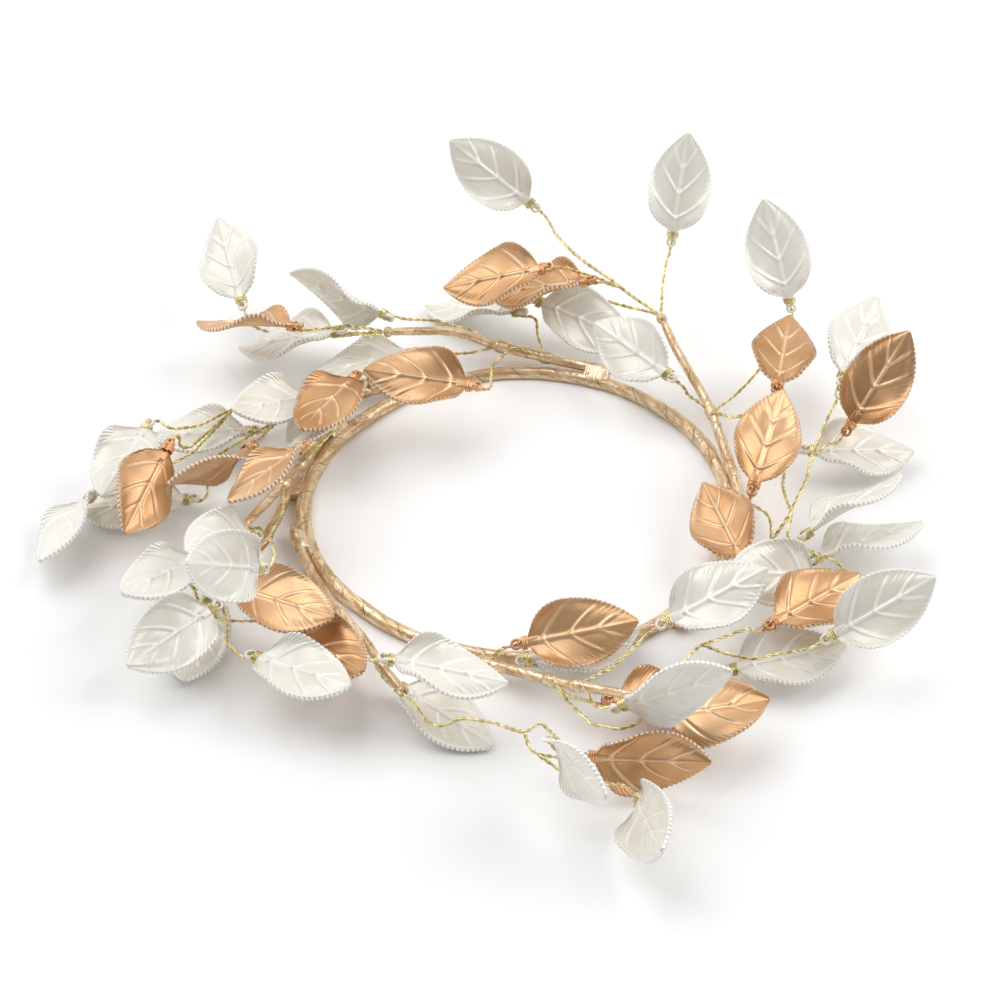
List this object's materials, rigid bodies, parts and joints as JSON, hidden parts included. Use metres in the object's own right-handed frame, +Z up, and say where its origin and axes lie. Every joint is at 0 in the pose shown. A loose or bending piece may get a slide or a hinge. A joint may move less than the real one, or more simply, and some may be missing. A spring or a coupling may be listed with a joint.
{
  "type": "candle ring",
  "caption": "Wire wreath ring for a table candle: tape-wrapped wire ring with sprays of twisted wire twigs and moulded ivory and copper leaves.",
  "frame": {"origin": "centre of the ring, on the plane that it rests on", "axes": "+Z up through the candle opening; +X to the right and +Y away from the viewer in the picture"},
  "size_m": [0.2144, 0.2386, 0.0449],
  "materials": {
    "core_wire": "drawn steel wire",
    "stem_wire": "drawn steel wire",
    "tape": "champagne-gold metallic floral tape, crinkled",
    "gold_wire": "pale gold twisted wire",
    "ivory_leaf": "pearl ivory moulded plastic",
    "copper_leaf": "metallised copper plastic, worn silvery at the rims"
  },
  "bodies": {
    "ring": {"ring_core_wire": "core_wire", "ring_tape": "tape", "bound_stem_tapes": "tape", "bound_stem_wires": "stem_wire", "tape_bindings": "tape"},
    "back_left_spray": {"back_left_stem_wire": "stem_wire", "back_left_stem_tape": "tape", "back_left_twigs": "gold_wire", "back_left_ivory_leaves": "ivory_leaf", "back_left_copper_leaves": "copper_leaf"},
    "back_right_spray": {"back_right_stem_wire": "stem_wire", "back_right_stem_tape": "tape", "back_right_twigs": "gold_wire", "back_right_ivory_leaves": "ivory_leaf", "back_right_copper_leaves": "copper_leaf"},
    "right_spray": {"right_stem_wire": "stem_wire", "right_stem_tape": "tape", "right_twigs": "gold_wire", "right_ivory_leaves": "ivory_leaf", "right_copper_leaves": "copper_leaf"},
    "front_right_spray": {"front_right_stem_wire": "stem_wire", "front_right_stem_tape": "tape", "front_right_twigs": "gold_wire", "front_right_ivory_leaves": "ivory_leaf", "front_right_copper_leaves": "copper_leaf"},
    "front_spray": {"front_stem_wire": "stem_wire", "front_stem_tape": "tape", "front_twigs": "gold_wire", "front_ivory_leaves": "ivory_leaf", "front_copper_leaves": "copper_leaf"},
    "front_left_spray": {"front_left_stem_wire": "stem_wire", "front_left_stem_tape": "tape", "front_left_twigs": "gold_wire", "front_left_ivory_leaves": "ivory_leaf", "front_left_copper_leaves": "copper_leaf"},
    "left_spray": {"left_stem_wire": "stem_wire", "left_stem_tape": "tape", "left_twigs": "gold_wire", "left_ivory_leaves": "ivory_leaf", "left_copper_leaves": "copper_leaf"},
    "upper_left_spray": {"upper_left_stem_wire": "stem_wire", "upper_left_stem_tape": "tape", "upper_left_twigs": "gold_wire", "upper_left_ivory_leaves": "ivory_leaf", "upper_left_copper_leaves": "copper_leaf"}
  },
  "joints": [
    {"name": "back_left_bend", "type": "hinge", "parent": "ring", "child": "back_left_spray", "pos_m": [0.01195, 0.05352, 0.00345], "axis": [0.1659, 0.9861, 0], "range_deg": [0, 3]},
    {"name": "back_right_bend", "type": "hinge", "parent": "ring", "child": "back_right_spray", "pos_m": [0.05436, 0.00772, 0.00398], "axis": [0.9788, 0.2049, 0], "range_deg": [0, 15]},
    {"name": "right_bend", "type": "hinge", "parent": "ring", "child": "right_spray", "pos_m": [0.04913, -0.03276, 0.00318], "axis": [0.7071, -0.7071, 0], "range_deg": [0, 15]},
    {"name": "front_right_bend", "type": "hinge", "parent": "ring", "child": "front_right_spray", "pos_m": [-0.0104, -0.05463, 0.00292], "axis": [-0.4711, -0.8821, 0], "range_deg": [0, 15]},
    {"name": "front_bend", "type": "hinge", "parent": "ring", "child": "front_spray", "pos_m": [-0.04718, -0.02897, 0.00318], "axis": [-0.8942, -0.4476, 0], "range_deg": [0, 5]},
    {"name": "front_left_bend", "type": "hinge", "parent": "ring", "child": "front_left_spray", "pos_m": [-0.05595, 0.00147, 0.00265], "axis": [-0.9727, 0.232, 0], "range_deg": [0, 2]},
    {"name": "left_bend", "type": "hinge", "parent": "ring", "child": "left_spray", "pos_m": [-0.05209, 0.01277, 0.00477], "axis": [-0.9406, 0.3396, 0], "range_deg": [0, 2]},
    {"name": "upper_left_bend", "type": "hinge", "parent": "ring", "child": "upper_left_spray", "pos_m": [-0.03639, 0.04062, 0.00424], "axis": [-0.3151, 0.9491, 0], "range_deg": [0, 7]}
  ]
}
